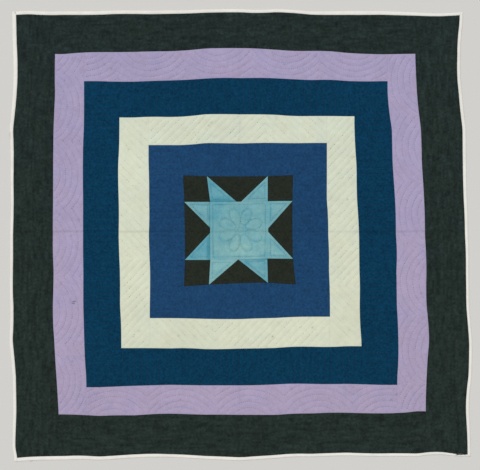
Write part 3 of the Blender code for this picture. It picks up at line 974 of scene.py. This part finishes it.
def noise_node(nodes, links, place, scale, detail):
    node = nodes.new("ShaderNodeTexNoise")
    node.inputs["Scale"].default_value = scale
    node.inputs["Detail"].default_value = detail
    links.new(place, node.inputs["Vector"])
    return node.outputs["Fac"]


def bump_node(nodes, links, height, strength, depth, under=None):
    node = nodes.new("ShaderNodeBump")
    node.inputs["Strength"].default_value = strength
    node.inputs["Distance"].default_value = depth
    links.new(height, node.inputs["Height"])
    if under is not None:
        links.new(under, node.inputs["Normal"])
    return node.outputs["Normal"]


def multiplied(nodes, links, first, second):
    mix = nodes.new("ShaderNodeMix")
    mix.data_type = "RGBA"
    mix.blend_type = "MULTIPLY"
    mix.inputs["Factor"].default_value = 1.0
    links.new(first, mix.inputs["A"])
    links.new(second, mix.inputs["B"])
    return mix.outputs["Result"]


def tinted_colour(nodes, links, colour):
    """The colour, times the tint that a piece's points carry."""
    plain = nodes.new("ShaderNodeRGB")
    plain.outputs[0].default_value = (*colour, 1.0)
    tint = nodes.new("ShaderNodeAttribute")
    tint.attribute_name = "tint"
    return multiplied(nodes, links, plain.outputs[0], tint.outputs["Color"])


def cloth_material(name, colour, mottling):
    """Matt woven cotton: mottled colour, plain weave and small wrinkles."""
    material = plain_material(name, colour, 0.95)
    nodes = material.node_tree.nodes
    links = material.node_tree.links
    shader = shader_of(material)
    shader.inputs["Specular IOR Level"].default_value = 0.06
    shader.inputs["Sheen Weight"].default_value = 0.015
    shader.inputs["Sheen Roughness"].default_value = 0.4
    place = nodes.new("ShaderNodeTexCoord").outputs["Object"]

    shade = 1.0 - sum(mottling) / 2
    for scale, amount in zip(MOTTLING_SCALES, mottling):
        spots = noise_node(nodes, links, place, scale, 2.0)
        spots = math_node(nodes, links, "MULTIPLY", spots, amount)
        shade = math_node(nodes, links, "ADD", spots, shade)
    shade = math_node(nodes, links, "MAXIMUM", shade, LEAST_SHADE)
    coloured = tinted_colour(nodes, links, colour)
    links.new(multiplied(nodes, links, coloured, shade), shader.inputs["Base Color"])

    axes = nodes.new("ShaderNodeSeparateXYZ")
    links.new(place, axes.inputs[0])
    threads = []
    for axis in ("X", "Y"):
        turns = math_node(nodes, links, "MULTIPLY", axes.outputs[axis], math.tau / WEAVE_PITCH)
        threads.append(math_node(nodes, links, "SINE", turns, 0.0))
    weave = math_node(nodes, links, "MULTIPLY", *threads)
    normal = bump_node(nodes, links, weave, 0.35, WEAVE_DEPTH)
    wrinkles = noise_node(nodes, links, place, WRINKLE_SCALE, 3.0)
    normal = bump_node(nodes, links, wrinkles, 0.6, WRINKLE_DEPTH, normal)
    links.new(normal, shader.inputs["Normal"])


def material_for(cloth):
    """The cloth's material, made the first time that it is asked for."""
    name = cloth.replace("_cloth", " cotton")
    if name not in bpy.data.materials:
        colour = tuple(getattr(bpy.context.scene.quilt_cloths, cloth))
        cloth_material(name, colour, COTTON_MOTTLING.get(cloth, PALE_MOTTLING))
    return bpy.data.materials[name]


def thread_material():
    """Cotton thread, whose points carry their own shade."""
    name = "dark thread"
    if name not in bpy.data.materials:
        colour = tuple(bpy.context.scene.quilt_sewing.thread)
        material = plain_material(name, colour, 0.8)
        nodes, links = material.node_tree.nodes, material.node_tree.links
        shaded = tinted_colour(nodes, links, colour)
        links.new(shaded, shader_of(material).inputs["Base Color"])
    return bpy.data.materials[name]


# Meshes


def to_frame(points, height):
    """Pattern points and their heights in the solids' frame, in metres."""
    placed = np.empty((len(points), 3))
    placed[:, :2] = points + np.array(PATTERN_MIDDLE)
    placed[:, 2] = height
    return placed * MM


def on_frame(x, y, level):
    """One pattern point in the solids' frame, at a level that is given in metres."""
    return Vector(((x + PATTERN_MIDDLE[0]) * MM, (y + PATTERN_MIDDLE[1]) * MM, level))


def new_object(name, data):
    made = bpy.data.objects.new(name, data)
    bpy.context.scene.collection.objects.link(made)
    return made


def tint_piece(piece, colours):
    """Gives each of a piece's points its own tint."""
    shades = np.ones((len(colours), 4), np.float32)
    shades[:, :3] = colours
    attribute = piece.data.attributes.new("tint", "FLOAT_COLOR", "POINT")
    attribute.data.foreach_set("color", shades.reshape(-1))


def new_piece(name, vertices, faces, materials, colours):
    """A smooth piece whose points carry their own tint."""
    mesh = bpy.data.meshes.new(name)
    mesh.from_pydata(vertices, [], faces)
    for material in materials:
        mesh.materials.append(material)
    piece = new_object(name, mesh)
    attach(piece, "root")
    tint_piece(piece, colours)
    mesh.shade_smooth()
    return piece


def cloth_piece(plan, cloth, height, tint, back_cloth="back_cloth", turned_under=0.0):
    """A closed piece of quilted cloth with a flat plain back.

    Where it is turned under, its back reaches under its neighbours, and so does a ledge of its
    own cloth just below its face.
    """
    rim = plan.rim
    parts, tints = [to_frame(plan.points, height)], [tint]
    if turned_under:
        parts.append(to_frame(grown(plan.points[rim], SEAM_LEDGE), height[rim] - SEAM_DIP))
        tints.append(tint[rim])
    lift = BACK_STEP * (len(bpy.data.objects) % BACK_LEVELS)
    parts.append(to_frame(grown(plan.points[rim], turned_under), np.full(len(rim), lift)))
    tints.append(np.full((len(rim), 3), BACK_SHADE))
    faces = plan.faces.tolist()
    above, first = rim, len(plan.points)
    for part in parts[1:]:
        below = np.arange(len(rim)) + first
        wall = (below, np.roll(below, -1), np.roll(above, -1), above)
        faces += np.stack(wall, axis=1).tolist()
        above, first = below, first + len(part)
    faces.append(above[::-1].tolist())
    materials = (material_for(cloth), material_for(back_cloth))
    name, vertices = f"cloth_{plan.node}", np.vstack(parts).tolist()
    piece = new_piece(name, vertices, faces, materials, np.vstack(tints))
    of_back = np.zeros(len(faces), np.int32)
    of_back[-len(rim) - 1 :] = 1
    piece.data.polygons.foreach_set("material_index", of_back)
    piece.data.set_sharp_from_angle(angle=SHARP_TURN)
    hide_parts(plan.node)
    return piece


# Stitches


def stitch_places(lines, sewing, rng):
    """Middle, direction and half length of each stitch along the lines."""
    places = []
    length, pitch = sewing.length / MM, sewing.pitch / MM
    for line in lines:
        at = stations(line)
        where = rng.uniform(*FIRST_STITCH) * pitch
        while where < at[-1] - length / 2:
            half = length / 2 * rng.uniform(*STITCH_LENGTHS)
            reach = (where - half, where + half)
            ends = [[np.interp(station, at, line[:, axis]) for axis in (0, 1)] for station in reach]
            way = np.subtract(ends[1], ends[0])
            way /= max(1e-6, np.linalg.norm(way))
            places.append((*np.mean(ends, axis=0), *way, half))
            where += pitch * rng.uniform(*STITCH_PITCHES)
    return places


def face_stitches(surface, places, width, rise, vertices, faces):
    """Small rounded dashes of thread lying on the cloth."""
    side = width / 2
    for x, y, way_x, way_y, half in places:
        spot, normal, _, _ = surface.ray_cast(on_frame(x, y, RAY_HEIGHT), DOWN)
        if spot is None:
            continue
        along = Vector((way_x, way_y, 0.0))
        along = (along - normal * along.dot(normal)).normalized() * half * MM
        across = normal.cross(along).normalized() * side
        up = normal * rise
        first = len(vertices)
        vertices.append(spot - along - up * SUNK_END)
        for share in (-STITCH_BODY, STITCH_BODY):
            middle = spot + along * share
            low = middle - up * SUNK_SIDE
            vertices.extend((low + across, middle + up, low - across))
        vertices.append(spot + along - up * SUNK_END)
        left, top, right, far_left, far_top, far_right, end = range(
            first + 1, first + FACE_STITCH_POINTS
        )
        faces.extend(((first, top, left), (first, right, top)))
        faces.extend(((end, far_left, far_top), (end, far_top, far_right)))
        faces.extend(((left, top, far_top, far_left), (top, right, far_right, far_top)))


def back_stitches(places, sewing, vertices, faces):
    """The same thread where it shows on the flat back, halfway between the face's stitches."""
    side, rise = sewing.width / 2, sewing.height * 0.5
    gap = sewing.pitch / MM / 2
    for x, y, way_x, way_y, half in places:
        spot = on_frame(x + way_x * gap, y + way_y * gap, 0.0)
        along = Vector((way_x, way_y, 0.0)) * half * BACK_STITCH_SHARE * MM
        across = Vector((-way_y, way_x, 0.0)) * side
        first = len(vertices)
        vertices.extend((spot - along, spot + across, spot + along, spot - across))
        vertices.append(spot + DOWN * rise)
        faces.extend((first + (k + 1) % 4, first + k, first + 4) for k in range(4))


def surface_of(piece):
    mesh = piece.data
    corners = [tuple(face.vertices) for face in mesh.polygons]
    return BVHTree.FromPolygons([vertex.co for vertex in mesh.vertices], corners)


def sewn_piece(cloth, cloth_and_lines, seed):
    """One piece of thread that holds the stitches of several pieces of cloth."""
    sewing = bpy.context.scene.quilt_sewing
    width, darkest, palest, hue = THREAD_LOOKS[cloth]
    rng = np.random.default_rng(seed)
    vertices, faces, shades = [], [], []

    def shade_since(first, points):
        """A random shade for each stitch laid since the first vertex, of so many points."""
        spots = np.array([(v.x, v.y) for v in vertices[first::points]]) / MM
        legible = 0.65 + 1.4 * soft_noise("legible thread", spots[:, 0], spots[:, 1])
        depth = np.clip(legible, 0.0, 1.5) * rng.random(len(spots)) ** 2
        shades.append(np.repeat(palest * (darkest / palest) ** depth, points))

    for piece, lines in cloth_and_lines:
        places = stitch_places(lines, sewing, rng)
        first, surface = len(vertices), surface_of(piece)
        face_stitches(surface, places, width * sewing.width, sewing.height, vertices, faces)
        shade_since(first, FACE_STITCH_POINTS)
        first = len(vertices)
        back_stitches(places, sewing, vertices, faces)
        shade_since(first, BACK_STITCH_POINTS)
    colours = grey(np.concatenate(shades)) * np.array(hue)
    return new_piece(f"stitches_{cloth}", vertices, faces, [thread_material()], colours)


def laid_sheet(plan):
    flat, area = plan.flat_size(), plan.flat_area()


def quilted_piece(plan, cloth, lines, tint_maker):
    padding = bpy.context.scene.quilt_padding
    height, distance = quilted_relief(plan, lines, padding)
    return cloth_piece(plan, cloth, height, tint_maker(plan, distance), turned_under=SEAM_TURN)


def make_sewn(name, plans, line_maker, tint_maker, seed):
    """Quilted pieces of one cloth, and the stitches that hold them."""
    cloth_and_lines = []
    for plan in plans:
        lines = hand_sewn(line_maker(plan))
        cloth_and_lines.append((quilted_piece(plan, f"{name}_cloth", lines, tint_maker), lines))
    sewn = sewn_piece(name, cloth_and_lines, seed)
    for k, (plan, (piece, _)) in enumerate(zip(plans, cloth_and_lines)):
        laid_sheet(plan)


def make_frame(name, line_maker, tint_maker, seed):
    step = bpy.context.scene.quilt_padding.step / MM
    make_sewn(name, [Strip(name, side, step) for side in SIDES], line_maker, tint_maker, seed)


def make_patches(name, nodes, tint_maker, seed):
    step = bpy.context.scene.quilt_padding.step / MM
    make_sewn(name, [Plan(node, step) for node in nodes], patch_lines, tint_maker, seed)


# Binding and loose threads


def rolled(distance, half):
    """A round rise from 0 at the edge to 1 halfway across."""
    return np.sqrt(np.clip(1 - (1 - np.clip(distance / half, 0, 1)) ** 2, 0, 1))


def binding_relief(strip, padding):
    """A rolled edge that is uneven along its length and dips under its hem."""
    x, y = strip.points[:, 0], strip.points[:, 1]
    outer = strip.side_distances[:, strip.outer_side]
    if not strip.level:
        ends = np.minimum(strip.side_distances[:, 0], strip.side_distances[:, 2])
        outer = np.minimum(outer, ends)
    roll = rolled(outer, strip.width / 2)
    hem = rolled(strip.side_distances[:, strip.inner_side], strip.width / 2)
    low = padding.binding_edge / MM * 0.6
    crest = padding.binding_crest / MM
    seam = padding.seam_height / MM
    height = np.minimum(low + (crest - low) * roll, seam + (crest - seam) * hem)
    lumps = 0.35 * soft_noise("binding lumps", x, y)
    lumps += 0.25 * soft_noise("binding small lumps", x, y)
    twist = soft_noise("binding twist", x + y, 0.35 * (x - y))
    height += (lumps + 0.18 * twist) * roll * hem
    relief = all_over_relief(x, y, padding)
    return np.maximum(height + relief * np.minimum(1.0, roll + 0.2), LOWEST_BINDING)


def binding_tint(strip):
    x, y = strip.points[:, 0], strip.points[:, 1]
    tint = 1.0 + 0.03 * soft_noise("binding fading", x, y)
    tint -= 0.05 * np.clip(soft_noise("binding soil", x, y), 0, 1)
    # Painted shade where the binding dips under its hem
    tint -= 0.12 * bell(strip.side_distances[:, strip.inner_side], HEM_SHADE_WIDTH)
    return grey(tint)


def thread_path(start, end, bow):
    """Points from start to end on the pattern, bowed sideways in the middle."""
    share = np.linspace(0.0, 1.0, LOOSE_THREAD_POINTS)[:, None]
    side = np.array((start[1] - end[1], end[0] - start[0])) / math.dist(start, end)
    return start + (end - start) * share + side * bow * np.sin(math.pi * share) ** 2


def thread_tube(line, radius, vertices, faces):
    """A tube along a line of points, closed at both ends."""
    first, around = len(vertices), range(TUBE_SIDES)
    for k, spot in enumerate(line):
        ahead = line[min(k + 1, len(line) - 1)] - line[max(k - 1, 0)]
        side = DOWN.cross(ahead).normalized() * radius
        up = side.cross(ahead).normalized() * radius
        for corner in around:
            angle = math.tau * corner / TUBE_SIDES
            vertices.append(spot + side * math.cos(angle) + up * math.sin(angle))
    for k in range(len(line) - 1):
        ring_start = first + TUBE_SIDES * k
        for corner in around:
            a, b = ring_start + corner, ring_start + (corner + 1) % TUBE_SIDES
            faces.append((a, b, b + TUBE_SIDES, a + TUBE_SIDES))
    last = first + TUBE_SIDES * (len(line) - 1)
    faces.append(tuple(first + corner for corner in around))
    faces.append(tuple(last + corner for corner in reversed(around)))


def make_loose_threads():
    """Dark threads where the binding has worn, a few stray ends, and pale loops at its edge."""
    surfaces = [surface_of(o) for o in bpy.data.objects if o.name.startswith("cloth_")]
    vertices, faces, shades = [], [], []
    for start_x, start_y, end_x, end_y, bow, thickness, shade in LOOSE_THREADS:
        radius = thickness * MM
        line = []
        for x, y in thread_path(on_pattern(start_x, start_y), on_pattern(end_x, end_y), bow):
            above = on_frame(x, y, RAY_HEIGHT)
            hits = [surface.ray_cast(above, DOWN)[0] for surface in surfaces]
            highest = max((hit.z for hit in hits if hit is not None), default=0.0)
            line.append(on_frame(x, y, highest + radius))
        thread_tube(line, radius, vertices, faces)
        shades += [shade] * (len(vertices) - len(shades))
    new_piece("loose_threads", vertices, faces, [thread_material()], grey(np.array(shades)))


# Stage


def lay_floor(stage):
    half = stage.floor_width / 2
    corners = [(-half, -half, 0), (half, -half, 0), (half, half, 0), (-half, half, 0)]
    mesh = bpy.data.meshes.new("floor")
    mesh.from_pydata(corners, [], [(0, 1, 2, 3)])
    mesh.materials.append(plain_material("pale floor", tuple(stage.floor), 0.9))
    floor = new_object("floor", mesh)
    floor.location.z = FLOOR_LEVEL


def light_stage(stage):
    """One slanting soft light, and even light from all round."""
    sun = bpy.data.lights.new("key light", "SUN")
    sun.energy = stage.key_strength
    sun.angle = stage.key_softness
    key = new_object("key light", sun)
    heading, height = stage.key_heading, stage.key_height
    reach = math.cos(height)
    towards = Vector((reach * math.cos(heading), reach * math.sin(heading), math.sin(height)))
    key.rotation_mode = "QUATERNION"
    key.rotation_quaternion = towards.to_track_quat("Z", "Y")
    key.location = towards * KEY_DISTANCE

    world = bpy.data.worlds.new("even light")
    world.use_nodes = True
    sky = world.node_tree.nodes["Background"]
    sky.inputs["Color"].default_value = (1.0, 1.0, 1.0, 1.0)
    sky.inputs["Strength"].default_value = stage.sky_strength
    bpy.context.scene.world = world
    bpy.context.scene.view_settings.view_transform = "Standard"


def set_camera(stage):
    """A camera straight above, which sees as much as the view's pixels cover."""
    lens = bpy.data.cameras.new("camera")
    seen_width = VIEW_PIXELS[0] * MM_PER_PIXEL * MM
    lens.lens = lens.sensor_width * stage.camera_height / seen_width
    lens.clip_end = FARTHEST_SEEN
    camera = new_object("camera", lens)
    middle = on_pattern(VIEW_PIXELS[0] / 2, VIEW_PIXELS[1] / 2)
    camera.location = on_frame(*middle, stage.camera_height + CAD_HIGH.z)
    bpy.context.scene.camera = camera


# Operators


class QUILT_OT_make_binding(bpy.types.Operator):
    """Make the four rolled strips of white binding"""

    bl_idname = "quilt.make_binding"
    bl_label = "Make binding"

    def execute(self, context):
        padding = context.scene.quilt_padding
        for side in SIDES:
            strip = Strip("binding", side, padding.step / MM, BINDING_STEP_ACROSS)
            height, tint = binding_relief(strip, padding), binding_tint(strip)
            piece = cloth_piece(strip, "binding_cloth", height, tint, "binding_cloth")
            laid_sheet(strip)
        return {"FINISHED"}


class QUILT_OT_make_charcoal_frame(bpy.types.Operator):
    """Make the outermost frame, sewn in arcs that swell outwards"""

    bl_idname = "quilt.make_charcoal_frame"
    bl_label = "Make charcoal frame"

    def execute(self, context):
        make_frame("charcoal", charcoal_lines, charcoal_tint, seed=101)
        return {"FINISHED"}


class QUILT_OT_make_lilac_frame(bpy.types.Operator):
    """Make the lilac frame, sewn in arcs that swell inwards"""

    bl_idname = "quilt.make_lilac_frame"
    bl_label = "Make lilac frame"

    def execute(self, context):
        make_frame("lilac", lilac_lines, lilac_tint, seed=102)
        return {"FINISHED"}


class QUILT_OT_make_navy_frame(bpy.types.Operator):
    """Make the navy frame, sewn in lines across it"""

    bl_idname = "quilt.make_navy_frame"
    bl_label = "Make navy frame"

    def execute(self, context):
        make_frame("navy", across_lines, cloth_tint, seed=103)
        return {"FINISHED"}


class QUILT_OT_make_cream_frame(bpy.types.Operator):
    """Make the cream frame, sewn in slanting lines that turn once on each side"""

    bl_idname = "quilt.make_cream_frame"
    bl_label = "Make cream frame"

    def execute(self, context):
        make_frame("cream", chevron_lines, cream_tint, seed=104)
        return {"FINISHED"}


class QUILT_OT_make_blue_frame(bpy.types.Operator):
    """Make the blue frame round the star block, sewn in lines across it"""

    bl_idname = "quilt.make_blue_frame"
    bl_label = "Make blue frame"

    def execute(self, context):
        make_frame("blue", across_lines, cloth_tint, seed=105)
        return {"FINISHED"}


class QUILT_OT_make_star_block(bpy.types.Operator):
    """Make the star's centre square and points and the dark patches round them"""

    bl_idname = "quilt.make_star_block"
    bl_label = "Make star block"

    def execute(self, context):
        make_patches("star", STAR_FADING, star_tint, seed=106)
        make_patches("black", BLOCK_PATCHES, cloth_tint, seed=107)
        return {"FINISHED"}


class QUILT_OT_make_loose_threads(bpy.types.Operator):
    """Lay the worn binding's dark threads, the stray ends and the pale loops at the edge"""

    bl_idname = "quilt.make_loose_threads"
    bl_label = "Make loose threads"

    def execute(self, context):
        make_loose_threads()
        return {"FINISHED"}


class QUILT_OT_make_stage(bpy.types.Operator):
    """Make the pale floor, the soft light and the camera straight above"""

    bl_idname = "quilt.make_stage"
    bl_label = "Make stage"

    def execute(self, context):
        stage = context.scene.quilt_stage
        lay_floor(stage)
        light_stage(stage)
        set_camera(stage)
        return {"FINISHED"}


class QUILT_PT_pieces(bpy.types.Panel):
    """Lists what the quilt is made of"""

    bl_idname = "QUILT_PT_pieces"
    bl_label = "Star quilt"
    bl_space_type = "VIEW_3D"
    bl_region_type = "UI"
    bl_category = "Quilt"

    def draw(self, context):
        for group_name in GROUPS:
            group = getattr(context.scene, group_name)
            box = self.layout.box()
            for name in group.bl_rna.properties.keys():
                if name not in ("rna_type", "name"):
                    box.prop(group, name)
        for operator in OPERATORS:
            self.layout.operator(operator.bl_idname)


OPERATORS = (
    QUILT_OT_make_binding,
    QUILT_OT_make_charcoal_frame,
    QUILT_OT_make_lilac_frame,
    QUILT_OT_make_navy_frame,
    QUILT_OT_make_cream_frame,
    QUILT_OT_make_blue_frame,
    QUILT_OT_make_star_block,
    QUILT_OT_make_loose_threads,
    QUILT_OT_make_stage,
)
GROUPS = {
    "quilt_padding": QuiltPadding,
    "quilt_sewing": QuiltSewing,
    "quilt_cloths": QuiltCloths,
    "quilt_stage": QuiltStage,
}


def register():
    for group in GROUPS.values():
        bpy.utils.register_class(group)
    for name, group in GROUPS.items():
        setattr(bpy.types.Scene, name, bpy.props.PointerProperty(type=group))
    for operator in OPERATORS:
        bpy.utils.register_class(operator)
    bpy.utils.register_class(QUILT_PT_pieces)


def unregister():
    bpy.utils.unregister_class(QUILT_PT_pieces)
    for operator in reversed(OPERATORS):
        bpy.utils.unregister_class(operator)
    for name in GROUPS:
        delattr(bpy.types.Scene, name)
    for group in reversed(GROUPS.values()):
        bpy.utils.unregister_class(group)


def clear_startup():
    for name in ("Cube", "Light", "Camera"):
        old = bpy.data.objects.get(name)
        if old is not None:
            bpy.data.objects.remove(old, do_unlink=True)


def main():
    register()
    clear_startup()
    bpy.ops.quilt.make_binding()
    bpy.ops.quilt.make_charcoal_frame()
    bpy.ops.quilt.make_lilac_frame()
    bpy.ops.quilt.make_navy_frame()
    bpy.ops.quilt.make_cream_frame()
    bpy.ops.quilt.make_blue_frame()
    bpy.ops.quilt.make_star_block()
    bpy.ops.quilt.make_loose_threads()
    bpy.ops.quilt.make_stage()


if __name__ == "__main__":
    main()
